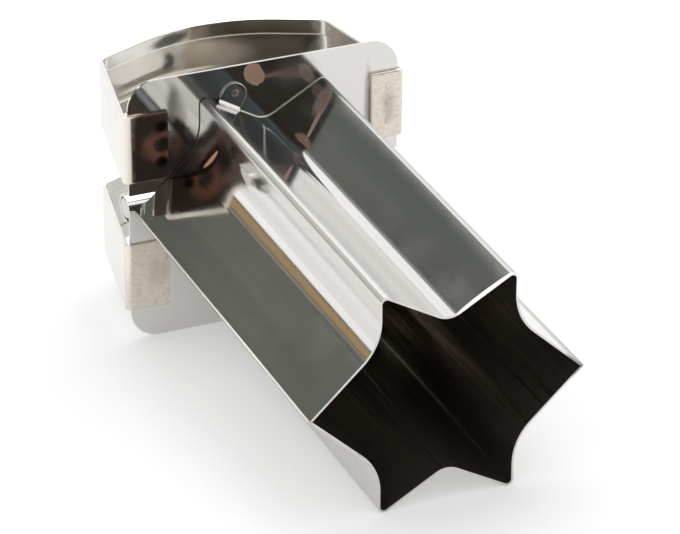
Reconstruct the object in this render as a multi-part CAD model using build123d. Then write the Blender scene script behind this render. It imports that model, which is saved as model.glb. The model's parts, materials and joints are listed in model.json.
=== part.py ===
from build123d import *
import math
import os

# Star biscuit cutter that opens like tongs. All sizes are in millimetres.
# The cutter is drawn standing on its cutting edge: x runs along the hinge, z up to the bows,
# and the split between its two halves is the plane y = 0. The half at -y comes out on top
# when lay_down turns the finished cutter onto its side, as it lies on a table.

# Star tube: one half is a strip of sheet, folded to two of the star's tips
tube_length = 85.0
tube_wall = 0.4
side_tip_reach = 26.3
upright_face_x = 13.1
side_valley_y = 12.4
folded_tip_y = 22.3
middle_valley_y = 14.8
tip_fold_radius = 1.2
side_valley_radius = 10.5
middle_valley_radius = 3.8
split_gap = 0.1

# Weld tab, bent out of the tube's back end and laid flat on the plate
tab_width = 4.8
tab_length = 4.8
tab_end_radius = 2.2
tab_bend_radius = 1.05
tab_slot = 0.4
tab_from_middle = 7.45

# Plates: each carries one half of the tube and one bow
plate_sheet = 0.5
plate_side_margin = 1.2
plate_outer_margin = 4.7
plate_corner_radius = 5.6

# Bows: a strip with a hem folded inwards along both edges, clipped round the plate's sides
bow_sheet = 0.4
bow_strip_width = 14.0
bow_from_split = 6.5
bow_hem_width = 3.0
bow_crown_height = 33.4
bow_crown_run = 10.0
bow_shoulder_height = 26.2
bow_shoulder_reach = 23.7
bow_shoulder_radius = 3.2
clip_inner_radius = 0.3
clip_tube_clearance = 0.4
short_clip_trim = 1.9

# Hinge: knuckles curled from the plates' own sheet
barrel_radius = 2.75
curl_sweep = 300.0
outer_knuckle_length = 8.2
inner_knuckle_length = 8.0
knuckle_gap = 0.3
notch_clearance = 0.95
tube_relief = 0.3
pin_clearance = 0.05
pin_end_chamfer = 0.4

# Closing spring, wound round the pin, with a straight foot on the back of each plate
wire_radius = 0.45
spring_turns = 11
spring_turn_gap = 0.5
spring_pin_clearance = 0.3
spring_leg_reach = 15.0
spring_foot_length = 5.0
spring_knee_radius = 2.2
spring_foot_clearance = 0.03

# Sizes that follow from the ones above
plate_half_width = side_tip_reach + plate_side_margin
plate_height = folded_tip_y + plate_outer_margin
notch_y = barrel_radius + notch_clearance
hinge_height = tube_length + barrel_radius
pin_radius = barrel_radius - plate_sheet - pin_clearance
inner_knuckle_end = plate_half_width - outer_knuckle_length - knuckle_gap
hem_depth = 2 * bow_sheet
far = 4 * plate_half_width + tube_length


def other_half(solid):
    """Turn a piece of the half at +y about the tube's axis, to belong to the half at -y."""
    return Rot(0, 0, 180) * solid


def weld_tab():
    """The tab on a wall at x = 0: x points away from the wall, y along it, z to the plate."""
    flat_start = tube_length - tube_wall
    bend_start = flat_start - tab_bend_radius
    line = Wire(
        [
            Line((0, bend_start - 2 * tab_slot), (0, bend_start)),
            CenterArc((tab_bend_radius, bend_start), tab_bend_radius, 180, -90),
            Line((tab_bend_radius, flat_start), (tab_length, flat_start)),
        ]
    )
    band = line.offset_2d(tube_wall, kind=Kind.INTERSECTION, side=Side.LEFT, closed=True)
    tab = extrude(Plane.XZ * make_face(band), tab_width / 2, both=True)
    end_corners = tab.edges().filter_by(Axis.Z).group_by(Axis.X)[-1]
    return fillet(end_corners, tab_end_radius)


def tube_half():
    """Half of the star tube at +y, with its weld tab and room for the hinge at its back end."""
    slope = side_valley_y / (side_tip_reach - upright_face_x)
    overrun = 2 * tube_wall
    line = FilletPolyline(
        (-side_tip_reach - overrun, -overrun * slope),
        (-upright_face_x, side_valley_y),
        (-upright_face_x, folded_tip_y),
        (0, middle_valley_y),
        (upright_face_x, folded_tip_y),
        (upright_face_x, side_valley_y),
        (side_tip_reach + overrun, -overrun * slope),
        radius=[
            side_valley_radius,
            tip_fold_radius,
            middle_valley_radius,
            tip_fold_radius,
            side_valley_radius,
        ],
    )
    band = Wire(line.edges()).offset_2d(
        tube_wall, kind=Kind.INTERSECTION, side=Side.RIGHT, closed=True
    )
    wall = extrude(make_face(band), tube_length)
    wall -= Pos(0, split_gap / 2 - far / 2, 0) * Box(far, far, far)
    wall -= Pos(0, 0, tube_length) * Box(far, 2 * notch_y, 2 * tube_relief)

    # The tab's wall slopes from the folded tip down to the middle valley
    fall = (folded_tip_y - middle_valley_y) / upright_face_x
    seat = Pos(tab_from_middle, middle_valley_y + fall * tab_from_middle) * Rot(
        0, 0, 90 + math.degrees(math.atan(fall))
    )
    slot_depth = tube_wall + tab_bend_radius + tab_slot
    slot = Box(4 * tube_wall, tab_width + 2 * tab_slot, 2 * slot_depth)
    wall -= seat * Pos(0, 0, tube_length) * slot
    return wall + seat * weld_tab()


def plate(knuckle_starts, knuckle_length):
    """A plate at +y, with the knuckles that its inner edge is curled to."""
    outline = fillet(Rectangle(2 * plate_half_width, 2 * plate_height).vertices(), plate_corner_radius)
    outline -= Pos(0, notch_y - far / 2) * Rectangle(far, far)
    sheet = Pos(0, 0, tube_length) * extrude(outline, plate_sheet)

    gap = math.radians(360 - curl_sweep)
    ring = Circle(barrel_radius) - Circle(barrel_radius - plate_sheet)
    ring -= Polygon(
        (0, 0), (0, -far), (far * math.sin(gap), -far * math.cos(gap)), align=None
    )
    tongue = Rectangle(notch_y + plate_sheet, plate_sheet, align=(Align.MIN, Align.MIN))
    section = Pos(0, hinge_height) * (ring + Pos(0, -barrel_radius) * tongue)
    for start in knuckle_starts:
        sheet += extrude(Plane.YZ.offset(start) * section, knuckle_length)
    return sheet


def bow():
    """A hemmed strip bent to a finger bow at +y, its ends folded round the plate's sides."""
    rise = bow_shoulder_height - plate_sheet
    lean = (plate_half_width + clip_inner_radius + hem_depth - bow_shoulder_reach) / rise
    fold_x = plate_half_width + clip_inner_radius + hem_depth + lean * (plate_sheet + hem_depth)
    fold_z = tube_length - hem_depth
    shoulder_z = tube_length + bow_shoulder_height
    tube_x = side_tip_reach - bow_from_split * (side_tip_reach - upright_face_x) / side_valley_y
    long_clip_x = tube_x + clip_tube_clearance
    short_clip_x = long_clip_x + short_clip_trim

    # The crown is an arc with a short straight run down to each shoulder. It is drawn as a peak,
    # where the two runs would meet, rounded by the radius that puts the arc's top at its height.
    slope = 2 * math.atan(
        (bow_crown_height - bow_shoulder_height) / (bow_shoulder_reach + bow_crown_run)
    )
    peak_z = shoulder_z + bow_shoulder_reach * math.tan(slope)
    crown_radius = (bow_shoulder_reach - bow_crown_run * math.cos(slope)) / math.sin(slope)

    fold_radius = hem_depth + clip_inner_radius
    bends = [fold_radius, bow_shoulder_radius, crown_radius, bow_shoulder_radius, fold_radius]
    line = FilletPolyline(
        (-long_clip_x, fold_z),
        (-fold_x, fold_z),
        (-bow_shoulder_reach, shoulder_z),
        (0, peak_z),
        (bow_shoulder_reach, shoulder_z),
        (fold_x, fold_z),
        (short_clip_x, fold_z),
        radius=bends,
    )
    path = Plane.XZ * Wire(line.edges())

    # The strip's section: x inwards from the outer face, y across the strip
    section = Pos(bow_sheet / 2, 0) * Rectangle(bow_sheet, bow_strip_width - hem_depth)
    straight_hem = bow_hem_width - hem_depth / 2
    for edge in (-1, 1):
        fold = Pos(hem_depth / 2, edge * (bow_strip_width - hem_depth) / 2)
        section += fold * Circle(hem_depth / 2)
        section += fold * Pos(0, -edge * straight_hem / 2) * Rectangle(hem_depth, straight_hem)
    start = Plane(origin=path @ 0, x_dir=(0, 0, 1), z_dir=path % 0)
    return Pos(0, bow_from_split + bow_strip_width / 2, 0) * sweep(start * section, path)


def hinge_pin():
    """A plain pin as long as the hinge, chamfered at both ends."""
    pin = Cylinder(pin_radius, 2 * plate_half_width, rotation=(0, 90, 0))
    pin = chamfer(pin.edges().filter_by(GeomType.CIRCLE), pin_end_chamfer)
    return Pos(0, 0, hinge_height) * pin


def tangent_arcs(start, start_way, end, end_way):
    """Two arcs that join two points smoothly, each leaving its point the way it heads there."""
    span = end - start
    both = start_way + end_way
    along = span.dot(both)
    square = 4 - both.dot(both)
    reach = (math.sqrt(along * along + square * span.dot(span)) - along) / square
    middle = (start + start_way * reach + end - end_way * reach) / 2
    return [
        Edge.make_tangent_arc(start, start_way, middle),
        Edge.make_tangent_arc(end, -end_way, middle),
    ]


def least_gap(path, half_turn):
    """The least gap of a wire to itself, between points at least half a turn apart on it."""
    count = math.ceil(path.length / wire_radius)
    points = [path @ (step / count) for step in range(count + 1)]
    apart = math.ceil(half_turn / (path.length / count))
    nearest = min(
        (points[later] - points[first]).length
        for first in range(count + 1 - apart)
        for later in range(first + apart, count + 1)
    )
    return nearest - 2 * wire_radius


def torsion_spring():
    """The closing spring: foot, leg, coil, leg and foot in one unbroken wire."""
    coil_radius = pin_radius + spring_pin_clearance + wire_radius
    pitch = 2 * wire_radius + spring_turn_gap
    foot_z = plate_sheet + spring_foot_clearance + wire_radius - barrel_radius
    knee_y = spring_leg_reach - spring_foot_length

    # Each leg leaves the back of the coil along the line that touches it from the knee
    knee_far = math.hypot(knee_y, foot_z)
    leave = math.atan2(foot_z, knee_y) + math.acos(coil_radius / knee_far)
    swept = 2 * math.pi * spring_turns + math.pi - 2 * leave
    advance = pitch / (2 * math.pi)
    steps = 4 * spring_turns + 1
    coil = []
    ways = []
    for step in range(steps + 1):
        turned = swept * step / steps
        angle = leave + turned
        across = Vector(0, math.cos(angle), math.sin(angle))
        coil.append(across * coil_radius + Vector(advance * (turned - swept / 2), 0, 0))
        ways.append(
            Vector(advance, -coil_radius * math.sin(angle), coil_radius * math.cos(angle)).normalized()
        )

    leg = math.sqrt(knee_far**2 - coil_radius**2) / math.hypot(ways[0].Y, ways[0].Z)
    knee = coil[0] - ways[0] * leg
    foot_way = Vector(0, -1, 0)
    trim = spring_knee_radius * math.tan(foot_way.get_angle(ways[0]) * math.pi / 360)
    foot_end = knee - foot_way * spring_foot_length
    bend_start = knee - foot_way * trim
    bend_end = knee + ways[0] * trim
    lower_leg = [
        Edge.make_line(foot_end, bend_start),
        Edge.make_tangent_arc(bend_start, foot_way, bend_end),
        Edge.make_line(bend_end, coil[0]),
    ]
    turns = []
    for step in range(steps):
        turns += tangent_arcs(coil[step], ways[step], coil[step + 1], ways[step + 1])
    upper_leg = [other_half(edge) for edge in lower_leg]
    path = Pos(0, 0, hinge_height) * Wire(lower_leg + turns + upper_leg)
    print(f"spring: least gap to itself {least_gap(path, math.pi * coil_radius):.2f} mm")
    start = Plane(origin=path @ 0, z_dir=path % 0)
    return sweep(start * Circle(wire_radius), path)


def lay_down(pieces):
    """Turn the cutter onto its side, rest it on two tips and a plate, and centre its footprint."""
    cutting_edge = pieces["lower_tube_half"].faces().sort_by(Axis.Z)[0]
    drop = plate_height - cutting_edge.bounding_box().max.Y
    tilt = math.degrees(math.atan(drop / tube_length))
    laid = {name: Rot(tilt - 90, 0, 0) * solid for name, solid in pieces.items()}
    room = Compound(laid.values()).bounding_box()
    shift = Pos(-room.center().X, -room.center().Y, -room.min.Z)
    return {name: shift * solid for name, solid in laid.items()}


def build():
    """Every piece of the cutter by name, in the frame that the part is used in."""
    outer_starts = [-plate_half_width, plate_half_width - outer_knuckle_length]
    inner_starts = [-inner_knuckle_end, inner_knuckle_end - inner_knuckle_length]
    lower_tube = tube_half()
    lower_bow = bow()
    return lay_down(
        {
            "lower_tube_half": lower_tube,
            "upper_tube_half": other_half(lower_tube),
            "lower_plate": plate(outer_starts, outer_knuckle_length),
            "upper_plate": other_half(plate(inner_starts, inner_knuckle_length)),
            "lower_handle_bow": lower_bow,
            "upper_handle_bow": mirror(lower_bow, Plane.XZ),
            "hinge_pin": hinge_pin(),
            "torsion_spring": torsion_spring(),
        }
    )


if __name__ == "__main__":
    os.makedirs("parts", exist_ok=True)
    for name, solid in build().items():
        export_step(solid, f"parts/{name}.step")
        print(f"{name}: {solid.volume:.1f} cubic mm")
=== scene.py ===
"""Dresses the star cutter: a folded sheet-steel tube in two halves, hinged behind like tongs."""

import json
import logging
import math
from dataclasses import dataclass, field
from enum import Enum

import bpy
import numpy as np
from mathutils import Matrix, Vector


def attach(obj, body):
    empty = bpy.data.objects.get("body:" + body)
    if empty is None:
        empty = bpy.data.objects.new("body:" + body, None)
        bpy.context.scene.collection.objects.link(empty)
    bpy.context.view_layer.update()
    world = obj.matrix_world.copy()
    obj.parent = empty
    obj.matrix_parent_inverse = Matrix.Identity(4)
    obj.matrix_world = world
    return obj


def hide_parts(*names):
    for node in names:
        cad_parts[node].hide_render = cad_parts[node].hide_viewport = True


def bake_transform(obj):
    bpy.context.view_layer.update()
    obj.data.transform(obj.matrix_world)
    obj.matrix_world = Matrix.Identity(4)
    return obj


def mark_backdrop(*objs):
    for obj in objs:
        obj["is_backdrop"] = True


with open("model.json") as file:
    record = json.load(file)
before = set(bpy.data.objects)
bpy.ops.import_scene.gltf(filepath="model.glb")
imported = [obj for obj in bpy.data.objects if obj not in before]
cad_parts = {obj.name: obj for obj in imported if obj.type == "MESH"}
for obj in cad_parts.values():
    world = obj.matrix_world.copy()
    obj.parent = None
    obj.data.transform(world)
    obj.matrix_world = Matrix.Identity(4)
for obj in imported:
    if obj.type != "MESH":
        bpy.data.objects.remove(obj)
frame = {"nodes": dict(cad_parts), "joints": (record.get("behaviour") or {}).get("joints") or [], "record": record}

logging.basicConfig(level=logging.INFO, format="%(message)s")
LOG = logging.getLogger("star_cutter")
Material, Object, Socket = bpy.types.Material, bpy.types.Object, bpy.types.NodeSocket
MM = 0.001
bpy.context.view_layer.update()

# The cutter's own axes as it lies: across along the hinge, along from the cutting edge to the bows,
# and rise square to both. Places below are (across, along, rise) in millimetres from the hinge axis.
HINGE = np.array(frame["joints"][0]["pos_m"])
ACROSS = np.array([1.0, 0.0, 0.0])
ALONG = -np.array(frame["record"]["mounts"][0]["axis"])
RISE = np.cross(ACROSS, ALONG)
PLATE_FRONT = -2.75
SHEET = 0.4
UPRIGHT_X = 13.1
TIP_RISE = 22.3
MIDDLE_RISE = 14.8
CLIP_FRONT = PLATE_FRONT - 2 * SHEET


class Half(Enum):
    """The two halves of the cutter, by the side of the hinge that they lie on as it rests."""

    LOWER = -1
    UPPER = 1

    @property
    def body(self) -> str:
        """The CAD body that this half's pieces ride on."""
        return f"{self.name.lower()}_jaw"

    def node(self, kind: str) -> str:
        """The name of this half's CAD node of one kind."""
        return f"{self.name.lower()}_{kind}"


def place(points: np.ndarray) -> np.ndarray:
    """Turn places in the cutter's own axes to the frame.

    Args:
        points: Places as (..., 3): across, along and rise from the hinge axis, in millimetres.

    Returns:
        The same places in the frame, in metres.
    """
    return HINGE + np.asarray(points, float) @ np.stack([ACROSS, ALONG, RISE]) * MM


def linear(hex_colour: str) -> tuple[float, float, float, float]:
    """Turn an sRGB hex colour to the linear RGBA that a shader takes.

    Args:
        hex_colour: Six hex digits, such as "c8c4be".

    Returns:
        Linear red, green, blue and an alpha of 1.
    """
    channels = [int(hex_colour[i : i + 2], 16) / 255 for i in (0, 2, 4)]
    return (*[c / 12.92 if c <= 0.04045 else ((c + 0.055) / 1.055) ** 2.4 for c in channels], 1.0)


def unit(vectors: np.ndarray) -> np.ndarray:
    """Scale each vector of an array to length 1."""
    return vectors / np.linalg.norm(vectors, axis=-1, keepdims=True)


def smooth_step(values: np.ndarray) -> np.ndarray:
    """Ease from 0 to 1 as the values go from 0 to 1, and stay there outside."""
    held = np.clip(values, 0.0, 1.0)
    return held * held * (3 - 2 * held)


def rounded(points: np.ndarray, radii: list[float], steps: int = 12) -> np.ndarray:
    """Round the corners of a run of straight lines with arcs.

    Each corner's arc is turned from where it leaves one line to where it joins the next, about a
    centre on the corner's bisector.

    Args:
        points: The run's corners and ends, as (n, 3).
        radii: One radius for each of the n - 2 corners.
        steps: Points on each arc.

    Returns:
        The rounded run as (m, 3).
    """
    points = np.asarray(points, float)
    runs = [points[:1]]
    for before, corner, after, radius in zip(points, points[1:], points[2:], radii):
        back, forth = unit(before - corner), unit(after - corner)
        half = math.acos(float(back @ forth)) / 2
        centre = corner + unit(back + forth) * radius / math.sin(half)
        start = corner + back * radius / math.tan(half) - centre
        end = corner + forth * radius / math.tan(half) - centre
        swept = math.pi - 2 * half
        t = np.linspace(0, 1, steps)[:, None]
        arc = (np.sin((1 - t) * swept) * start + np.sin(t * swept) * end) / math.sin(swept)
        runs.append(centre + arc)
    runs.append(points[-1:])
    return np.concatenate(runs)


def run_lengths(line: np.ndarray) -> np.ndarray:
    """Measure how far along a line each of its points lies."""
    return np.cumsum(np.linalg.norm(np.diff(line, axis=0, prepend=line[:1]), axis=1))


def points_at(line: np.ndarray, lengths: np.ndarray) -> np.ndarray:
    """Find the points of a line at given lengths from its start."""
    ends = run_lengths(line)
    return np.stack([np.interp(lengths, ends, line[:, k]) for k in range(3)], axis=-1)


def evened(line: np.ndarray, step: float) -> np.ndarray:
    """Set points at even steps along a line, from its first point to its last."""
    whole = run_lengths(line)[-1]
    return points_at(line, np.linspace(0, whole, max(2, round(whole / step))))


def add_node(
    material: bpy.types.ID, kind: str, links: dict | None = None, **settings
) -> bpy.types.Node:
    """Add one shader node, with its settings and the links into it.

    Args:
        material: The material or world whose tree gets the node.
        kind: Blender's name for the node's type.
        links: Input name or number to the output socket or value that feeds it.
        **settings: Attributes of the node itself.

    Returns:
        The new node.
    """
    node = material.node_tree.nodes.new(kind)
    for name, value in settings.items():
        setattr(node, name, value)
    for name, source in (links or {}).items():
        if isinstance(source, Socket):
            material.node_tree.links.new(source, node.inputs[name])
        else:
            node.inputs[name].default_value = source
    return node


def new_material(name: str) -> Material:
    """Make an empty node material.

    Args:
        name: The material's name.

    Returns:
        The material, with no nodes in it.
    """
    material = bpy.data.materials.new(name)
    material.use_nodes = True
    material.node_tree.nodes.clear()
    return material


def mesh_object(name: str, corners: np.ndarray, faces: list) -> Object:
    """Make a smooth shaded mesh object at the origin.

    Args:
        name: The object's name.
        corners: Vertices as (n, 3), in metres.
        faces: Lists of vertex numbers.

    Returns:
        The object, linked to the scene.
    """
    mesh = bpy.data.meshes.new(name)
    mesh.from_pydata(corners.tolist(), [], faces)
    mesh.shade_smooth()
    made = bpy.data.objects.new(name, mesh)
    bpy.context.scene.collection.objects.link(made)
    return made


def grid_object(name: str, grid: np.ndarray) -> Object:
    """Make a mesh object of the quads of one grid of points.

    Args:
        name: The object's name.
        grid: Points as rows by columns by 3, in metres.

    Returns:
        The object, at the origin, smooth shaded.
    """
    rows, columns = grid.shape[:2]
    index = np.arange(rows * columns).reshape(rows, columns)
    quads = np.stack([index[:-1, :-1], index[1:, :-1], index[1:, 1:], index[:-1, 1:]], axis=-1)
    return mesh_object(name, grid.reshape(-1, 3), quads.reshape(-1, 4).tolist())


def ring_object(name: str, rings: np.ndarray) -> Object:
    """Make a closed mesh object of rings of points, shut by a pole at each end.

    Args:
        name: The object's name.
        rings: Points as rings by sides by 3, in metres.

    Returns:
        The object, with its faces outwards.
    """
    count, sides = rings.shape[:2]
    index = np.arange(count * sides).reshape(count, sides)
    turned = np.roll(index, -1, axis=1)
    quads = np.stack([index[:-1], turned[:-1], turned[1:], index[1:]], axis=-1).reshape(-1, 4)
    first, last = count * sides, count * sides + 1
    start = np.stack([np.full(sides, first), turned[0], index[0]], axis=-1)
    end = np.stack([np.full(sides, last), index[-1], turned[-1]], axis=-1)
    poles = np.stack([rings[0].mean(axis=0), rings[-1].mean(axis=0)])
    corners = np.concatenate([rings.reshape(-1, 3), poles])

    # Six times the volume, as the sum of the faces' triple products, is above 0 with faces outwards
    thirds = np.concatenate([quads[:, [0, 1, 2]], quads[:, [0, 2, 3]], start, end])
    a, b, c = (corners[thirds[:, k]] - corners[0] for k in range(3))
    faces = quads.tolist() + start.tolist() + end.tolist()
    if np.einsum("ij,ij->", a, np.cross(b, c)) < 0:
        faces = [face[::-1] for face in faces]
    return mesh_object(name, corners, faces)


def swept_wire(
    name: str, path: np.ndarray, radius_mm: float, beside: np.ndarray, sides: int = 12
) -> Object:
    """Sweep a round section along a path that never runs along one given direction.

    Args:
        name: The object's name.
        path: The wire's centre line as (n, 3) in the cutter's own axes, in millimetres.
        radius_mm: The wire's radius.
        beside: The direction that the path is always across, in the frame.
        sides: Corners of the section.

    Returns:
        The wire, closed at both ends.
    """
    line = place(path)
    way = unit(np.gradient(line, axis=0))
    first = unit(beside - (way @ beside)[:, None] * way)
    second = np.cross(way, first)
    turn = np.linspace(0, 2 * math.pi, sides, endpoint=False)[None, :, None]
    spread = np.cos(turn) * first[:, None] + np.sin(turn) * second[:, None]
    return ring_object(name, line[:, None] + radius_mm * MM * spread)


@dataclass(frozen=True, kw_only=True)
class Layer:
    """Something on the steel that changes its colour, roughness and metal shine in places."""

    colour: str
    roughness: float = 0.3
    metal: float = 1.0
    strength: float = 0.8
    inside: bool = False

    def mask(self, steel: Material, where: Socket) -> Socket | float:
        """Work out where the layer lies.

        Args:
            steel: The material; not used here.
            where: Places in the cutter's own axes, in millimetres; not used here.

        Returns:
            A value from 0 to the layer's strength, which a plain layer has everywhere.
        """
        return self.strength

    def on_inner_faces(self, steel: Material, mask: Socket | float) -> Socket:
        """Keep a mask where the normal and the way out from the hinge axis point opposite ways.

        Args:
            steel: The material.
            mask: The layer's own mask.

        Returns:
            The mask on the inner faces, and 0 on the others.
        """
        seat = add_node(steel, "ShaderNodeTexCoord")
        out = add_node(
            steel,
            "ShaderNodeVectorMath",
            {0: seat.outputs["Object"], 1: tuple(HINGE)},
            operation="SUBTRACT",
        )
        along = add_node(
            steel,
            "ShaderNodeVectorMath",
            {0: out.outputs[0], 1: seat.outputs["Normal"]},
            operation="DOT_PRODUCT",
        )
        inwards = add_node(
            steel, "ShaderNodeMath", {0: along.outputs["Value"], 1: 0.0}, operation="LESS_THAN"
        )
        shown = {0: inwards.outputs[0], 1: mask}
        return add_node(steel, "ShaderNodeMath", shown, operation="MULTIPLY").outputs[0]

    def lay(self, steel: Material, where: Socket, under: dict) -> dict:
        """Lay the layer over what is under it, on all faces or on the inner ones alone.

        Args:
            steel: The material.
            where: Places in the cutter's own axes, in millimetres.
            under: The shader's colour, roughness and metallic before, by socket name.

        Returns:
            The same three with the layer.
        """
        mask = self.mask(steel, where)
        if self.inside:
            mask = self.on_inner_faces(steel, mask)
        laid = dict(under)
        laid["Base Color"] = add_node(
            steel,
            "ShaderNodeMix",
            {0: mask, 6: under["Base Color"], 7: linear(self.colour)},
            data_type="RGBA",
        ).outputs[2]
        for socket, own in (("Roughness", self.roughness), ("Metallic", self.metal)):
            if under[socket] != own:
                laid[socket] = add_node(
                    steel, "ShaderNodeMix", {0: mask, 2: under[socket], 3: own}, data_type="FLOAT"
                ).outputs[0]
        return laid


@dataclass(frozen=True, kw_only=True)
class Stain(Layer):
    """An oval patch with a ragged edge: a weld's oxide, a smudge, or a painted shade, highlight or reflection."""

    centre: tuple[float, float, float]
    radii_mm: tuple[float, float, float]
    turn_deg: tuple[float, float, float] = (0.0, 0.0, 0.0)
    edge: float = 0.35
    ragged: float = 0.6
    spots_mm: float = 2.0
    grain: "Grain | None" = None

    def mask(self, steel: Material, where: Socket) -> Socket:
        """Ease from the strength to 0 past an edge that spots make ragged, with a grain if any.

        Args:
            steel: The material.
            where: Places in the cutter's own axes, in millimetres.

        Returns:
            A value from 0 to the layer's strength.
        """
        spots = add_node(
            steel,
            "ShaderNodeTexNoise",
            {"Vector": where, "Scale": 1 / self.spots_mm, "Detail": 6.0, "Roughness": 0.62},
        )
        sized = add_node(
            steel,
            "ShaderNodeMapping",
            {
                "Vector": where,
                "Location": self.centre,
                "Rotation": tuple(math.radians(turn) for turn in self.turn_deg),
                "Scale": self.radii_mm,
            },
            vector_type="TEXTURE",
        )
        reach = add_node(steel, "ShaderNodeVectorMath", {0: sized.outputs[0]}, operation="LENGTH")
        worn = add_node(
            steel,
            "ShaderNodeMath",
            {0: spots.outputs["Fac"], 1: self.ragged, 2: reach.outputs["Value"]},
            operation="MULTIPLY_ADD",
        )
        rim = 1.0 + self.ragged / 2
        shown = add_node(
            steel,
            "ShaderNodeMapRange",
            {
                "Value": worn.outputs[0],
                "From Min": rim - self.edge,
                "From Max": rim + self.edge,
                "To Min": self.strength,
                "To Max": 0.0,
            },
            interpolation_type="SMOOTHSTEP",
        ).outputs[0]
        if self.grain is None:
            return shown
        grained = {0: shown, 1: self.grain.mask(steel, where)}
        return add_node(steel, "ShaderNodeMath", grained, operation="MULTIPLY").outputs[0]


@dataclass(frozen=True, kw_only=True)
class Grain(Layer):
    """A noise pattern: streaks that the rollers leave along the sheet, or fine specks of wear."""

    size_mm: float
    stretch: tuple[float, float, float] = (1.0, 1.0, 1.0)
    detail: float = 3.0
    shows: tuple[float, float] = (0.4, 0.7)

    def mask(self, steel: Material, where: Socket) -> Socket:
        """Map the noise, stretched along the sheet, from 0 to the strength where it shows.

        Args:
            steel: The material.
            where: Places in the cutter's own axes, in millimetres.

        Returns:
            A value from 0 to the layer's strength.
        """
        drawn = add_node(steel, "ShaderNodeMapping", {"Vector": where, "Scale": self.stretch})
        noise = add_node(
            steel,
            "ShaderNodeTexNoise",
            {"Vector": drawn.outputs[0], "Scale": 1 / self.size_mm, "Detail": self.detail},
        )
        return add_node(
            steel,
            "ShaderNodeMapRange",
            {
                "Value": noise.outputs["Fac"],
                "From Min": self.shows[0],
                "From Max": self.shows[1],
                "To Max": self.strength,
            },
        ).outputs[0]


@dataclass(frozen=True)
class SheetSteel:
    """Bright stainless sheet, as rolled and polished: a mirror with slow waves and fine lines.

    The rollers leave waves of 16 to 24 mm. The polishing lines are drawn 0.3 mm apart, several
    times as coarse as real ones, to show.
    """

    name: str
    colour: str = "d9d7d3"
    roughness: float = 0.06
    cloud_roughness: float = 0.10
    cloud_mm: float = 7.0
    wave_mm: float = 16.0
    wave_depth_mm: float = 0.03
    line_mm: float = 0.3
    line_depth_mm: float = 0.0004
    line_stretch: tuple[float, float, float] = (1.0, 0.02, 1.0)
    layers: tuple[Layer, ...] = ()

    def material(self) -> Material:
        """Build the material.

        Returns:
            A metal whose reflection bends on slow waves and smears on lines along the tube.
        """
        steel = new_material(self.name)
        to_cutter = {
            "Vector": add_node(steel, "ShaderNodeTexCoord").outputs["Object"],
            "Location": tuple(-(np.stack([ACROSS, ALONG, RISE]) @ HINGE) / MM),
            "Rotation": (-math.atan2(ALONG[2], ALONG[1]), 0.0, 0.0),
            "Scale": (1 / MM, 1 / MM, 1 / MM),
        }
        where = add_node(steel, "ShaderNodeMapping", to_cutter).outputs[0]
        waves = add_node(
            steel, "ShaderNodeTexNoise", {"Vector": where, "Scale": 1 / self.wave_mm, "Detail": 1.0}
        )
        wavy = add_node(
            steel,
            "ShaderNodeBump",
            {"Height": waves.outputs["Fac"], "Distance": self.wave_depth_mm * MM},
        )
        drawn = add_node(steel, "ShaderNodeMapping", {"Vector": where, "Scale": self.line_stretch})
        lines = add_node(
            steel,
            "ShaderNodeTexNoise",
            {"Vector": drawn.outputs[0], "Scale": 1 / self.line_mm, "Detail": 2.0},
        )
        lined = add_node(
            steel,
            "ShaderNodeBump",
            {
                "Height": lines.outputs["Fac"],
                "Distance": self.line_depth_mm * MM,
                "Normal": wavy.outputs[0],
            },
        )
        spots = add_node(
            steel, "ShaderNodeTexNoise", {"Vector": where, "Scale": 1 / self.cloud_mm, "Detail": 4.0}
        )
        clouds = add_node(
            steel,
            "ShaderNodeMapRange",
            {
                "Value": spots.outputs["Fac"],
                "From Min": 0.35,
                "From Max": 0.7,
                "To Min": self.roughness,
                "To Max": self.cloud_roughness,
            },
        )
        look = {"Base Color": linear(self.colour), "Roughness": clouds.outputs[0], "Metallic": 1.0}
        for layer in self.layers:
            look = layer.lay(steel, where, look)
        surface = add_node(
            steel, "ShaderNodeBsdfPrincipled", {**look, "Normal": lined.outputs[0]}
        )
        add_node(steel, "ShaderNodeOutputMaterial", {"Surface": surface.outputs[0]})
        return steel


@dataclass(frozen=True)
class Patch:
    """One soft-edged patch of the room that the steel mirrors."""

    azimuths: tuple[float, float]
    elevations: tuple[float, float]
    colour: str
    edge: float = 2.0

    def mask(self, azimuth: np.ndarray, elevation: np.ndarray) -> np.ndarray:
        """Work out how much of each direction the patch covers.

        Inside, the mask is 1. It eases to 0 over the edge, in azimuth and in elevation.

        Args:
            azimuth: Directions' azimuths in degrees.
            elevation: Directions' elevations in degrees.

        Returns:
            A value from 0 to 1 for each direction.
        """
        middle = sum(self.azimuths) / 2
        off = np.abs((azimuth - middle + 180) % 360 - 180)
        beside = off - (self.azimuths[1] - self.azimuths[0]) / 2
        low, high = self.elevations
        above = np.maximum(low - elevation, elevation - high)
        return smooth_step(0.5 - beside / self.edge) * smooth_step(0.5 - above / self.edge)


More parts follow.
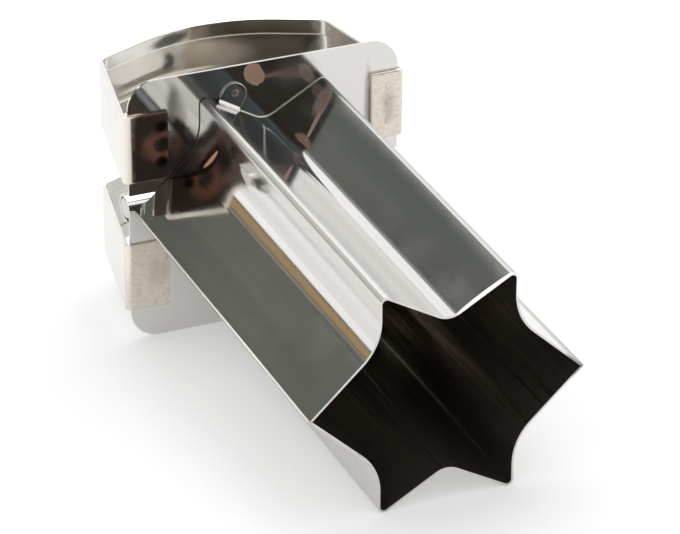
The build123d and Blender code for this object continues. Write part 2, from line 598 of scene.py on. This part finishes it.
@dataclass
class Room:
    """The room round the white table, seen only in the steel: a painted half sphere.

    Its patches give each face of the tube the tone that it has from the photograph's side.
    """

    distance: float = 1.7
    step: float = 0.6
    brightness: float = 1.25
    patches: tuple[Patch, ...] = (
        # Wall and ceiling behind on the left, mirrored by the folded tips
        Patch((-158, -60), (44, 78), "74776f", 5.0),
        # Dark window wall, mirrored by the upper left face
        Patch((-156, -100), (21.5, 28.5), "62645f", 1.2),
        Patch((-150.2, -147.9), (24.0, 25.6), "6b6d68", 1.4),
        Patch((-153, -149), (20.5, 23.6), "4e504d", 1.4),
        # Wooden board on the table's far edge with its shadows, mirrored by the left valley
        Patch((-156, -110), (8.8, 21.4), "6f685b", 0.9),
        Patch((-156, -110), (11.0, 19.4), "a38c6a", 2.2),
        # Wall straight behind, mirrored by the right roof, lighter away from its corner
        Patch((-184, -163.5), (33, 50), "90938e", 8.0),
        Patch((-174, -161.5), (33, 50), "656863", 3.0),
        Patch((-164.4, -161.5), (33, 50), "565753", 1.4),
        # Dark room behind the camera, warm on the left and blue on the right
        Patch((-46, 38), (-5, 36), "3b3632", 6.0),
        Patch((-50, 12), (30, 64), "2e2b29", 8.0),
        Patch((12, 38), (6, 30), "474e55", 5.0),
        Patch((18, 22), (23, 27), "62686c", 2.0),
        Patch((-31, -24), (14, 20), "4d423d", 3.0),
        Patch((-37, -29.5), (3, 10), "9a9ea2", 2.0),
    )

    def build(self) -> Object:
        """Build the half sphere and paint it, one patch over the other.

        The point at azimuth a and elevation e is distance times
        (sin a cos e, -cos a cos e, sin e), on an even grid of both angles.

        Returns:
            Nothing; the room's object is marked as stage.
        """
        azimuth, elevation = np.meshgrid(
            np.linspace(-180, 180, round(360 / self.step) + 1),
            np.linspace(-2, 90, round(92 / self.step) + 1),
            indexing="ij",
        )
        a, e = np.radians(azimuth), np.radians(elevation)
        grid = np.stack([np.sin(a) * np.cos(e), -np.cos(a) * np.cos(e), np.sin(e)], axis=-1)
        room = grid_object("room", self.distance * grid)
        paint = np.ones((*azimuth.shape, 4))
        for patch in self.patches:
            mask = patch.mask(azimuth, elevation)[..., None]
            paint = paint * (1 - mask) + np.array(linear(patch.colour)) * mask
        layer = room.data.color_attributes.new("paint", "FLOAT_COLOR", "POINT")
        layer.data.foreach_set("color", paint.astype(np.float32).ravel())

        walls = new_material("room_walls")
        seen = add_node(walls, "ShaderNodeVertexColor", layer_name="paint")
        glow = add_node(
            walls,
            "ShaderNodeEmission",
            {"Color": seen.outputs["Color"], "Strength": self.brightness},
        )
        add_node(walls, "ShaderNodeOutputMaterial", {"Surface": glow.outputs[0]})
        walls.cycles.emission_sampling = "NONE"
        room.data.materials.append(walls)
        room.visible_camera = False
        room.visible_diffuse = False
        room.visible_shadow = False
        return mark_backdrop(room)


@dataclass
class Studio:
    """The plain white table, its soft light, and the room that the steel mirrors."""

    floor_half: float = 1.65
    floor_drop_mm: float = 0.02
    floor_colour: str = "f6f6f6"
    floor_glow: float = 0.35
    fill: float = 1.05
    lamp_watts: float = 5.0
    lamp_sides: tuple[float, float] = (1.0, 0.8)
    lamp_place: tuple[float, float, float] = (0.35, 0.55, 1.3)
    camera_target_mm: tuple[float, float, float] = (-13.08, -42.70, 41.55)
    camera_distance_mm: float = 717.0
    camera_azimuth: float = -22.46
    camera_elevation: float = 24.72
    camera_roll: float = -1.33
    camera_lens: float = 217.4
    camera_near: float = 0.01
    room: Room = field(default_factory=Room)

    @staticmethod
    def seen(material: bpy.types.ID) -> Socket:
        """Tell the rays that see a thing, straight or in steel or glass, from those that light it.

        Args:
            material: The material or world that asks.

        Returns:
            A value of 1 for a ray that sees and 0 for one that lights.
        """
        path = add_node(material, "ShaderNodeLightPath")
        rays = path.outputs["Is Camera Ray"]
        for other in ("Is Glossy Ray", "Is Transmission Ray"):
            rays = add_node(
                material, "ShaderNodeMath", {0: rays, 1: path.outputs[other]}, operation="MAXIMUM"
            ).outputs[0]
        return rays

    def floor(self) -> Object:
        """Lay the pale table top, which glows a little where it is seen, so that shadows stay soft.

        Returns:
            Nothing; the floor's object is marked as stage.
        """
        side = np.linspace(-self.floor_half, self.floor_half, 2)
        x, y = np.meshgrid(side, side, indexing="ij")
        table = grid_object("table", np.stack([x, y, np.full_like(x, -self.floor_drop_mm * MM)], axis=-1))
        paper = new_material("white_table")
        matt = add_node(paper, "ShaderNodeBsdfDiffuse", {"Color": linear(self.floor_colour)})
        white = add_node(paper, "ShaderNodeEmission", {"Color": linear("ffffff"), "Strength": 1.0})
        share = add_node(
            paper, "ShaderNodeMath", {0: self.seen(paper), 1: self.floor_glow}, operation="MULTIPLY"
        )
        mixed = add_node(
            paper,
            "ShaderNodeMixShader",
            {0: share.outputs[0], 1: matt.outputs[0], 2: white.outputs[0]},
        )
        add_node(paper, "ShaderNodeOutputMaterial", {"Surface": mixed.outputs[0]})
        paper.cycles.emission_sampling = "NONE"
        table.data.materials.append(paper)
        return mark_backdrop(table)

    def world(self) -> None:
        """Light the scene evenly, with a white background for what is seen or mirrored."""
        world = bpy.data.worlds.new("white_studio")
        bpy.context.scene.world = world
        world.use_nodes = True
        world.node_tree.nodes.clear()
        fill = add_node(
            world, "ShaderNodeBackground", {"Color": linear("ffffff"), "Strength": self.fill}
        )
        white = add_node(world, "ShaderNodeBackground", {"Color": linear("ffffff"), "Strength": 1.0})
        mixed = add_node(
            world,
            "ShaderNodeMixShader",
            {0: self.seen(world), 1: fill.outputs[0], 2: white.outputs[0]},
        )
        add_node(world, "ShaderNodeOutputWorld", {"Surface": mixed.outputs[0]})

    def lamp(self) -> None:
        """Hang one large soft lamp over the table."""
        light = bpy.data.lights.new("softbox", "AREA")
        light.shape = "RECTANGLE"
        light.size, light.size_y = self.lamp_sides
        light.energy = self.lamp_watts
        hung = bpy.data.objects.new("softbox", light)
        hung.location = self.lamp_place
        hung.rotation_euler = (-hung.location).to_track_quat("-Z", "Y").to_euler()
        hung.visible_camera = False
        bpy.context.scene.collection.objects.link(hung)

    def camera(self) -> None:
        """Set up the camera at the photograph's angle and distance."""
        a, e = math.radians(self.camera_azimuth), math.radians(self.camera_elevation)
        away = Vector((math.sin(a) * math.cos(e), -math.cos(a) * math.cos(e), math.sin(e)))
        turn = (-away).to_track_quat("-Z", "Y").to_matrix().to_4x4()
        turn = turn @ Matrix.Rotation(math.radians(self.camera_roll), 4, "Z")
        spot = (Vector(self.camera_target_mm) + away * self.camera_distance_mm) * MM
        lens = bpy.data.cameras.new("camera")
        lens.lens = self.camera_lens
        lens.clip_start = self.camera_near
        camera = bpy.data.objects.new("camera", lens)
        camera.matrix_world = Matrix.Translation(spot) @ turn
        bpy.context.scene.collection.objects.link(camera)
        bpy.context.scene.camera = camera

    def build(self) -> None:
        """Set up the whole studio."""
        self.camera()
        self.floor()
        self.world()
        self.lamp()
        self.room.build()
        bpy.context.scene.view_settings.view_transform = "Standard"


def dress(node: str, material: Material) -> None:
    """Give a CAD node one material.

    Args:
        node: The node's name.
        material: Its material.
    """
    steel = frame["nodes"][node]
    steel.data.materials.clear()
    steel.data.materials.append(material)
    LOG.info("%s: %s", node, material.name)


def settle(piece: Object, material: Material, half: Half) -> None:
    """Give a new piece its material and the body that it rides on.

    Args:
        piece: The piece.
        material: Its material.
        half: The half of the cutter that carries it.
    """
    piece.data.materials.append(material)
    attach(piece, half.body)
    LOG.info("%s: %s", piece.name, material.name)


@dataclass
class TubeHalf:
    """One folded half of the star tube, with the lip that shearing left along its back end."""

    half: Half
    tip_reach: float = 26.3
    valley_rise: float = 12.4
    valley_radius: float = 10.5
    tip_radius: float = 1.2
    middle_radius: float = 3.8
    lip_radius: float = 0.12
    lip_from_rise: float = 4.2
    lip_step: float = 0.25
    tube_length: float = 85.0
    split_edge_radius: float = 0.11

    def outline(self) -> np.ndarray:
        """Draw the half's outer outline where it meets the plate.

        Returns:
            Points from one split edge to the other, as (n, 3) in the cutter's own axes.
        """
        side = self.half.value
        corners = [
            (-self.tip_reach, 0.0),
            (-UPRIGHT_X, self.valley_rise),
            (-UPRIGHT_X, TIP_RISE),
            (0.0, MIDDLE_RISE),
            (UPRIGHT_X, TIP_RISE),
            (UPRIGHT_X, self.valley_rise),
            (self.tip_reach, 0.0),
        ]
        points = [(side * x, PLATE_FRONT - self.lip_radius, side * rise) for x, rise in corners]
        outer = [self.valley_radius, self.tip_radius]
        return rounded(points, [*outer, self.middle_radius, *outer[::-1]], 24)

    def build(
        self, sheet: Material, lips: tuple, sheared: Material, tab: "WeldTab"
    ) -> None:
        """Dress the tube half, lay its lip and draw the sheared edges of its split.

        The lip is left out at the hinge and at the weld tab's slot.

        Args:
            sheet: The tube's sheet steel.
            lips: The steel of the lip on each side of the tab, nearest the split edge first; the first is dark,
                painted shade of the open seam.
            sheared: Steel of a sheared edge.
            tab: The half's weld tab.
        """
        dress(self.half.node("tube_half"), sheet)
        line = self.outline()
        line = points_at(line, np.arange(0, run_lengths(line)[-1], self.lip_step))
        kept = (np.abs(line[:, 2]) > self.lip_from_rise) & ~tab.covers(line)
        cuts = np.flatnonzero(np.diff(kept)) + 1
        runs = [run for run, keep in zip(np.split(line, cuts), np.split(kept, cuts)) if keep[0]]
        for number, (run, steel) in enumerate(zip(runs, lips, strict=True), 1):
            name = f"{self.half.name.lower()}_tube_lip_{number}"
            lip = swept_wire(name, run, self.lip_radius, ALONG, 8)
            settle(lip, steel, self.half)
        radius = self.split_edge_radius
        ends_along = (PLATE_FRONT - self.tube_length + radius, PLATE_FRONT - 2 * radius)
        for number, side in enumerate((-1, 1), 1):
            across = side * (self.tip_reach - radius)
            split = np.array([(across, along, self.half.value * radius) for along in ends_along])
            name = f"{self.half.name.lower()}_split_edge_{number}"
            settle(swept_wire(name, split, radius, RISE, 8), sheared, self.half)


@dataclass
class WeldTab:
    """The tab that holds a tube half to its plate: its sheared rim and its weld."""

    half: Half
    width: float = 4.8
    length: float = 4.8
    end_radius: float = 2.2
    bend_radius: float = 1.05
    slot: float = 0.4
    from_middle: float = 7.45
    fall: float = (TIP_RISE - MIDDLE_RISE) / UPRIGHT_X
    rim_radius: float = 0.09
    weld_radius: float = 0.75
    weld_height: float = 0.22
    weld_from_wall: float = 2.9
    wall_reach: float = 1.0

    def axes(self) -> tuple[np.ndarray, np.ndarray, np.ndarray]:
        """Work out where the tab leaves its wall.

        Returns:
            The middle of the tab's foot, the way away from the wall, and the way along it.
        """
        side = self.half.value
        wall_rise = MIDDLE_RISE + self.fall * self.from_middle
        foot = np.array([-side * self.from_middle, PLATE_FRONT, side * wall_rise])
        away = unit(np.array([side * self.fall, 0.0, side * 1.0]))
        beside = np.array([away[2], 0.0, -away[0]])
        return foot, away, beside

    def covers(self, line: np.ndarray) -> np.ndarray:
        """Tell which points of the tube's outline lie at the tab or its slots.

        Args:
            line: Points as (n, 3) in the cutter's own axes.

        Returns:
            True for each point that does.
        """
        foot, away, beside = self.axes()
        off = line - foot
        near = np.abs(off @ away) < self.wall_reach
        return near & (np.abs(off @ beside) < self.width / 2 + self.slot)

    def build(self, sheared: Material, weld: Material) -> None:
        """Lay the rim round the tab's end and the weld on its middle.

        The weld's height over its radius r is that of a low dome, height * (1 - r^2)^0.5.

        Args:
            sheared: Steel of a sheared edge.
            weld: Steel of a weld.
        """
        foot, away, beside = self.axes()
        front = np.array([0.0, -SHEET + self.rim_radius, 0.0])
        half_width = self.width / 2 * beside
        near, far = (foot + front + away * out for out in (self.bend_radius, self.length))
        points = [near - half_width, far - half_width, far + half_width, near + half_width]
        name = self.half.name.lower()
        path = rounded(points, [self.end_radius, self.end_radius], 20)
        rim = swept_wire(f"{name}_tab_rim", path, self.rim_radius, ALONG, 8)
        settle(rim, sheared, self.half)

        middle = foot + away * self.weld_from_wall + np.array([0.0, -SHEET, 0.0])
        dot = low_dome(f"{name}_tab_weld", middle, self.weld_radius, self.weld_height)
        settle(dot, weld, self.half)


def low_dome(name: str, centre: np.ndarray, radius: float, height: float) -> Object:
    """Make a low round dome that faces the cutting edge, with its base inside the sheet.

    Its rings stand at angles g from its top to its base, with radius times sin g across and
    height times cos g forward, and a short way further into the sheet.

    Args:
        name: The object's name.
        centre: The dome's middle on the sheet, in the cutter's own axes in millimetres.
        radius: Its radius.
        height: Its height.

    Returns:
        The dome.
    """
    g = np.radians(np.linspace(6, 110, 14))[:, None]
    turn = np.linspace(0, 2 * math.pi, 32, endpoint=False)[None, :]
    rings = np.stack(
        [
            radius * np.sin(g) * np.cos(turn),
            -height * np.cos(g) * np.ones_like(turn),
            radius * np.sin(g) * np.sin(turn),
        ],
        axis=-1,
    )
    return ring_object(name, place(centre + rings))


@dataclass
class Bow:
    """One hemmed finger bow, with its hems' sheared edges and its clips' spot welds."""

    half: Half
    strip_from: float = 6.5
    strip_width: float = 14.0
    hem_width: float = 3.0
    fold_across: float = 28.85
    shoulder_across: float = 23.7
    shoulder_along: float = 23.45
    shoulder_radius: float = 3.2
    crown_height: float = 33.4
    crown_run: float = 10.0
    shoulder_height: float = 26.2
    edge_radius: float = 0.13
    welds_across: tuple[float, float] = (-21.1, 25.6)
    weld_rises: tuple[float, ...] = (10.2, 13.9, 17.6)
    weld_radius: float = 0.95
    weld_height: float = 0.07

    def hem_line(self) -> np.ndarray:
        """Draw the line of a hem's inner face, from the plate round the bow and back.

        The crown's arc rounds the peak where the runs from both shoulders would meet, by the
        radius that puts its top at the crown's height. The strip's outer line is moved square to
        itself by the hem's two sheets.

        Returns:
            Points as (n, 3) in the cutter's own axes, at rise 0.
        """
        climb = self.crown_height - self.shoulder_height
        slope = 2 * math.atan(climb / (self.shoulder_across + self.crown_run))
        peak = self.shoulder_along + self.shoulder_across * math.tan(slope)
        arc = (self.shoulder_across - self.crown_run * math.cos(slope)) / math.sin(slope)
        corners = [
            (-self.fold_across, CLIP_FRONT, 0.0),
            (-self.shoulder_across, self.shoulder_along, 0.0),
            (0.0, peak, 0.0),
            (self.shoulder_across, self.shoulder_along, 0.0),
            (self.fold_across, CLIP_FRONT, 0.0),
        ]
        outer = rounded(corners, [self.shoulder_radius, arc, self.shoulder_radius], 40)
        way = unit(np.gradient(outer, axis=0))
        inner = outer + 2 * SHEET * np.cross(way, [0.0, 0.0, 1.0])
        return inner[inner[:, 1] > PLATE_FRONT + 2 * SHEET]

    def build(self, strip: Material, sheared: Material) -> None:
        """Dress the bow, lay its hems' edges and set its welds, pressed from its own steel.

        Args:
            strip: The bow's strip steel.
            sheared: Steel of a sheared edge.
        """
        dress(self.half.node("handle_bow"), strip)
        name = self.half.name.lower()
        line = self.hem_line()
        hems = (self.hem_width, self.strip_width - self.hem_width)
        for number, reach in enumerate(hems, 1):
            raised = line + np.array([0.0, 0.0, self.half.value * (self.strip_from + reach)])
            edge = swept_wire(f"{name}_hem_edge_{number}", raised, self.edge_radius, RISE, 8)
            settle(edge, sheared, self.half)
        spots = [(across, rise) for across in self.welds_across for rise in self.weld_rises]
        for number, (across, rise) in enumerate(spots, 1):
            spot = np.array([across, CLIP_FRONT, self.half.value * rise])
            dot = low_dome(f"{name}_clip_weld_{number}", spot, self.weld_radius, self.weld_height)
            settle(dot, strip, self.half)


@dataclass
class Hinge:
    """The hinge's pin and its closing spring, one wire from foot to foot."""

    wire_radius: float = 0.45
    turns: int = 11
    pitch: float = 1.4
    coil_radius: float = 2.95
    leg_reach: float = 15.0
    foot_length: float = 5.0
    knee_radius: float = 2.2
    foot_depth: float = 1.77
    leg_step: float = 0.4

    def centre_line(self) -> np.ndarray:
        """Draw the spring's centre line.

        The coil is a helix about the hinge axis. Each leg leaves it along the tangent from the
        knee, where the foot begins, and the second leg is the first turned half a turn.

        Returns:
            Points from foot to foot, as (n, 3) in the cutter's own axes.
        """
        knee_reach = self.leg_reach - self.foot_length
        far = math.hypot(knee_reach, self.foot_depth)
        leave = math.acos(self.coil_radius / far) - math.atan2(self.foot_depth, knee_reach)
        swept = 2 * math.pi * self.turns + math.pi - 2 * leave
        turned = np.linspace(0, swept, 48 * self.turns)
        advance = self.pitch / (2 * math.pi)
        coil = np.stack(
            [
                advance * (turned - swept / 2),
                self.coil_radius * np.sin(leave + turned),
                -self.coil_radius * np.cos(leave + turned),
            ],
            axis=-1,
        )
        lean = self.coil_radius * math.cos(leave), self.coil_radius * math.sin(leave)
        way = np.array([advance, *lean])
        way = way / math.hypot(way[1], way[2])
        knee = coil[0] - way * math.sqrt(far**2 - self.coil_radius**2)
        foot = knee - np.array([0.0, 0.0, self.foot_length])
        leg = rounded([foot, knee, coil[0]], [self.knee_radius])
        other = leg[::-1] * np.array([-1.0, 1.0, -1.0])
        return np.concatenate([evened(leg, self.leg_step)[:-1], coil, evened(other, self.leg_step)[1:]])

    def build(self, pin: Material, wire: Material) -> None:
        """Dress the pin, and wind the spring, which is attached to neither half.

        Args:
            pin: The pin's steel.
            wire: The spring's wire.
        """
        dress("hinge_pin", pin)
        spring = swept_wire("closing_spring", self.centre_line(), self.wire_radius, ACROSS, 16)
        spring.data.materials.append(wire)
        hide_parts("torsion_spring")
        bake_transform(spring)
        LOG.info("%s: %s", spring.name, wire.name)


# Fine dust and handling marks: 0.3 mm specks, drawn about twice as coarse as real ones to show
SPECKS = Grain(
    colour="b9bcbd", roughness=0.4, metal=0.5, strength=0.35, size_mm=0.3, shows=(0.66, 0.74)
)
# Rolled sheet is drawn through polished rollers, which leave it a mirror with lines one way only
TUBE_STEEL = SheetSteel(
    "polished_tube_sheet",
    layers=(
        # Roller streaks about 3 mm wide, which run the tube's whole length
        Grain(
            size_mm=3.0, stretch=(1.0, 0.012, 1.0), detail=2.0,
            colour="b9b9b7", roughness=0.13, strength=0.4,
        ),
        SPECKS,
        # The folded tips are made duller and a little darker, the right one darker still: painted reflection,
        # standing for the soft gradient that a rounder fold mirrors
        *(
            Stain(
                centre=(x, -45.0, rise), radii_mm=radii,
                colour=colour, roughness=0.42, strength=strength, ragged=0.1, edge=edge,
            )
            for radii, strength, edge in (
                ((3.2, 400.0, 2.6), 0.4, 0.7),
                ((1.3, 400.0, 1.5), 1.0, 0.2),
            )
            for x, colour in ((-UPRIGHT_X, "c9c8c4"), (UPRIGHT_X, "b4b3af"))
            for rise in (-TIP_RISE, TIP_RISE)
        ),
        # A dimmer band along the middle of the right roof: painted reflection
        Stain(
            centre=(8.4, -50.0, 19.7), radii_mm=(2.2, 36.0, 4.0),
            colour="b2b6b6", roughness=0.12, strength=0.9, edge=0.6, ragged=0.8,
        ),
        # The right tip is painted darker along its split edge: painted reflection
        Stain(
            centre=(25.4, -45.0, 0.9), radii_mm=(2.9, 400.0, 2.9),
            colour="8b8e8d", roughness=0.25, strength=0.9, edge=0.4, ragged=0.4,
        ),
        # A matt white band painted along the cutting edge of the right roof: painted highlight
        Stain(
            centre=(6.9, -87.9, 18.7), radii_mm=(6.6, 0.8, 6.0),
            colour="ffffff", roughness=0.5, metal=0.2, strength=0.9, edge=0.15, ragged=0.1,
        ),
        # Black marks round a copper tint beside the upper plate: painted reflection and highlight, partly over a
        # weld's heat tint
        Stain(
            centre=(-13.4, -15.5, 15.0), radii_mm=(2.5, 3.6, 3.2),
            colour="2f2b29", roughness=0.25, strength=0.85, edge=0.5, ragged=0.7,
        ),
        Stain(
            centre=(-14.2, -11.0, 12.8), radii_mm=(3.2, 2.2, 4.6), turn_deg=(32.0, 0.0, 0.0),
            colour="2a2522", roughness=0.3, strength=0.9,
        ),
        Stain(
            centre=(-14.1, -11.0, 12.8), radii_mm=(2.0, 0.55, 2.9), turn_deg=(32.0, 0.0, 0.0),
            colour="c79a72", roughness=0.4, metal=0.2, strength=0.95, edge=0.15, ragged=0.3,
        ),
        # A copper streak and leaf, slantwise on the right roof: mirror images in the photograph
        Stain(
            centre=(7.1, -12.6, 18.9), radii_mm=(0.46, 5.8, 1.5), turn_deg=(22.5, 0.0, -45.7),
            colour="8c6350", roughness=0.4, metal=0.4, strength=0.9, edge=0.4, ragged=0.4,
        ),
        Stain(
            centre=(9.4, -9.2, 20.1), radii_mm=(1.3, 3.2, 1.8), turn_deg=(22.5, 0.0, -40.0),
            colour="74523f", roughness=0.35, metal=0.5, strength=0.85, edge=0.7, ragged=1.2,
        ),
        # The inside is painted dull and dark, with streaks along it, so that the mouth looks deep
        Layer(colour="8a8076", roughness=0.2, metal=0.9, strength=1.0, inside=True),
        Grain(
            size_mm=1.0, stretch=(1.0, 0.006, 1.0), detail=3.0, shows=(0.5, 0.68),
            colour="c4b6a4", roughness=0.24, strength=0.95, inside=True,
        ),
    ),
)
PLATE_STEEL = SheetSteel(
    "polished_plate_sheet",
    wave_mm=20.0,
    line_stretch=(0.02, 1.0, 1.0),
    layers=(
        SPECKS,
        # Copper and brown patches at the tab's weld and on the seam right of it
        Stain(
            centre=(-2.1, PLATE_FRONT, 24.7), radii_mm=(1.8, 2.0, 2.5), turn_deg=(0.0, -25.0, 0.0),
            colour="98755f", roughness=0.4, metal=0.1, strength=0.95, edge=0.12, ragged=0.9,
        ),
        Stain(
            centre=(6.4, PLATE_FRONT, 23.6), radii_mm=(3.4, 2.0, 2.6),
            colour="7b5f54", roughness=0.3, metal=0.8, strength=0.35, edge=0.8, ragged=0.8,
        ),
        Stain(
            centre=(8.7, PLATE_FRONT, 22.8), radii_mm=(0.9, 2.0, 2.0), turn_deg=(0.0, -32.0, 0.0),
            colour="6f4e40", roughness=0.4, metal=0.4, strength=0.7, edge=0.6, ragged=0.8,
        ),
        # Beside the left clip: a matt patch and a slanting dark band, painted shade and painted reflection
        # for what the plate mirrors there, and the welds' heat that runs on under the clip
        Stain(
            centre=(-16.8, PLATE_FRONT, 18.8), radii_mm=(1.5, 2.0, 3.6),
            colour="dedbd6", roughness=0.35, strength=0.7, edge=0.9, ragged=0.5,
        ),
        Stain(
            centre=(-16.2, PLATE_FRONT, 15.0), radii_mm=(1.2, 2.0, 5.2), turn_deg=(0.0, -35.7, 0.0),
            colour="23272e", roughness=0.1, strength=0.92, edge=0.45, ragged=0.4,
        ),
        Stain(
            centre=(-17.0, PLATE_FRONT, 10.6), radii_mm=(4.2, 1.0, 4.8),
            colour="33241e", roughness=0.25, metal=0.8, strength=0.92, edge=0.4, ragged=0.8,
        ),
        Stain(
            centre=(-18.4, PLATE_FRONT, 13.0), radii_mm=(1.5, 1.0, 2.4),
            colour="70493a", roughness=0.35, metal=0.4, strength=0.6, edge=0.8, ragged=1.0,
        ),
        # A light matt band beside the right clip's end, painted over the clip's dark mirror image: painted light
        Stain(
            centre=(21.4, PLATE_FRONT, 13.0), radii_mm=(0.8, 1.0, 9.0),
            colour="cfccc8", roughness=0.5, metal=0.3, strength=0.9, edge=0.4, ragged=0.2,
        ),
    ),
)
BOW_STEEL = SheetSteel(
    "bright_bow_strip",
    colour="dfdcd7",
    roughness=0.14,
    cloud_roughness=0.24,
    wave_mm=24.0,
    line_stretch=(0.04, 0.04, 1.0),
    layers=(
        # Dark and light patches inside the upper crown, which stand for what it mirrors
        Stain(
            centre=(9.4, 28.0, 14.0), radii_mm=(12.9, 16.0, 30.0),
            colour="8a8074", roughness=0.14, strength=1.0, edge=0.14, ragged=0.25, inside=True,
        ),
        Stain(
            centre=(2.6, 29.9, 13.8), radii_mm=(7.0, 8.0, 3.0),
            colour="c2b8a8", roughness=0.2, strength=0.85, edge=0.5, ragged=0.4, inside=True,
        ),
        Stain(
            centre=(-7.0, 29.2, 18.8), radii_mm=(3.8, 4.0, 1.2), turn_deg=(0.0, -6.0, 0.0),
            colour="5f5a53", roughness=0.25, strength=0.9, edge=0.4, ragged=0.9, inside=True,
        ),
        Stain(
            centre=(-7.2, 29.3, 13.8), radii_mm=(1.4, 4.0, 1.9),
            colour="55534f", roughness=0.25, strength=0.9, edge=0.4, ragged=0.5, inside=True,
        ),
        # A bright patch inside its left shoulder, for the same
        Stain(
            centre=(-15.4, 27.0, 15.2), radii_mm=(7.9, 8.0, 2.6), turn_deg=(0.0, 6.0, 0.0),
            colour="fffaf2", roughness=0.42, strength=0.95, edge=0.14, ragged=0.2, inside=True,
        ),
        # The lower hem's painted shade and a painted highlight on its fold, along the crown's left
        Stain(
            centre=(-12.0, 28.0, 12.3), radii_mm=(8.0, 6.0, 0.7),
            colour="9d9686", roughness=0.2, strength=0.8, edge=0.3, ragged=0.2, inside=True,
        ),
        Stain(
            centre=(-9.0, 28.5, 11.0), radii_mm=(12.0, 6.0, 0.5),
            colour="fff4e4", roughness=0.35, metal=0.1, strength=0.9, edge=0.3, ragged=0.1, inside=True,
        ),
        # The clips were pressed round the plate, which left them duller and warmer than the legs
        Stain(
            centre=(0.0, CLIP_FRONT, 0.0), radii_mm=(60.0, 1.3, 60.0),
            colour="e0d6cb", roughness=0.3, strength=1.0, edge=0.2, ragged=0.2,
        ),
        # The pressing left a fine mottling on the clips, of wrinkles under 1 mm apart
        Stain(
            centre=(0.0, CLIP_FRONT, 0.0),
            radii_mm=(60.0, 1.3, 60.0),
            colour="b3a291",
            roughness=0.35,
            strength=0.34,
            edge=0.2,
            ragged=0.2,
            grain=Grain(
                colour="b3a291",
                strength=1.0,
                size_mm=0.7,
                stretch=(0.6, 1.0, 1.0),
                detail=4.0,
                shows=(0.46, 0.68),
            ),
        ),
        # The right clip's end was sheared, and is painted light and matt over its dark shade
        Stain(
            centre=(21.7, CLIP_FRONT + 0.4, 13.0), radii_mm=(0.35, 0.9, 14.0),
            colour="cfc5ba", roughness=0.7, metal=0.2, strength=1.0, edge=0.2, ragged=0.1,
        ),
        # The upper left clip is browned by its welds, with a copper ring round a dark middle
        Stain(
            centre=(-20.4, CLIP_FRONT, 13.5), radii_mm=(6.6, 0.9, 20.0),
            colour="43312b", roughness=0.25, metal=0.8, strength=0.95, edge=0.1, ragged=0.3,
        ),
        # A light matt band down the clip's left fold: painted highlight
        Stain(
            centre=(-28.6, CLIP_FRONT, 13.5), radii_mm=(1.4, 1.3, 30.0),
            colour="f4eae1", roughness=0.5, metal=0.1, strength=1.0, edge=0.12, ragged=0.15,
        ),
        Stain(
            centre=(-20.9, CLIP_FRONT, 13.6), radii_mm=(3.9, 0.9, 3.0),
            colour="7d523f", roughness=0.35, metal=0.35, strength=0.85, edge=0.45, ragged=1.0,
        ),
        Stain(
            centre=(-20.7, CLIP_FRONT, 13.8), radii_mm=(1.9, 0.9, 1.5),
            colour="2e2724", roughness=0.3, metal=0.7, strength=0.95, edge=0.4, ragged=0.8,
        ),
        *(
            Stain(
                centre=(-21.1, CLIP_FRONT, rise), radii_mm=(1.15, 0.9, 1.15),
                colour="1f1a18", roughness=0.3, strength=0.9, edge=0.4, ragged=0.5,
            )
            for rise in (10.2, 17.6)
        ),
        # Smudges on the other clips
        Stain(
            centre=(25.4, CLIP_FRONT, 13.4), radii_mm=(1.3, 1.0, 3.0),
            colour="a39a8f", strength=0.5, edge=0.6, ragged=1.4,
        ),
        Stain(
            centre=(-22.0, CLIP_FRONT, -12.6), radii_mm=(1.9, 1.0, 3.0),
            colour="bfae94", strength=0.4, edge=0.5, ragged=1.2,
        ),
    ),
)
# A sheared edge is torn rather than cut, so that it scatters the light to a fine bright line
SHEARED_STEEL = SheetSteel("sheared_edge", colour="f2ede4", roughness=0.35, cloud_roughness=0.5)
# A dark wire along the open seam beside the plate: painted shade of the gap
SEAM_STEEL = SheetSteel("painted_shade_seam", colour="4a443f", roughness=0.4, cloud_roughness=0.5)
# A spot weld is pressed by a copper electrode and tinted by its heat
WELD_STEEL = SheetSteel("spot_weld", colour="9a8f86", roughness=0.2, cloud_roughness=0.4)
# Wire and pin are drawn through a die, which leaves fine lines along them
PIN_STEEL = SheetSteel("drawn_pin", colour="c9c8c6", roughness=0.18, cloud_roughness=0.26)
WIRE_STEEL = SheetSteel("drawn_spring_wire", colour="b4b3b2", roughness=0.22, cloud_roughness=0.32)


def main() -> None:
    """Build and dress the cutter and its studio."""
    tube = TUBE_STEEL.material()
    plate = PLATE_STEEL.material()
    strip = BOW_STEEL.material()
    sheared = SHEARED_STEEL.material()
    seam = SEAM_STEEL.material()
    weld = WELD_STEEL.material()
    Studio().build()
    for half in Half:
        tab = WeldTab(half)
        tab.build(sheared, weld)
        # The lip left of the tab is dark steel: painted shade of the open seam
        TubeHalf(half).build(tube, (seam, sheared), sheared, tab)
        dress(half.node("plate"), plate)
        Bow(half).build(strip, sheared)
    Hinge().build(PIN_STEEL.material(), WIRE_STEEL.material())


if __name__ == "__main__":
    main()
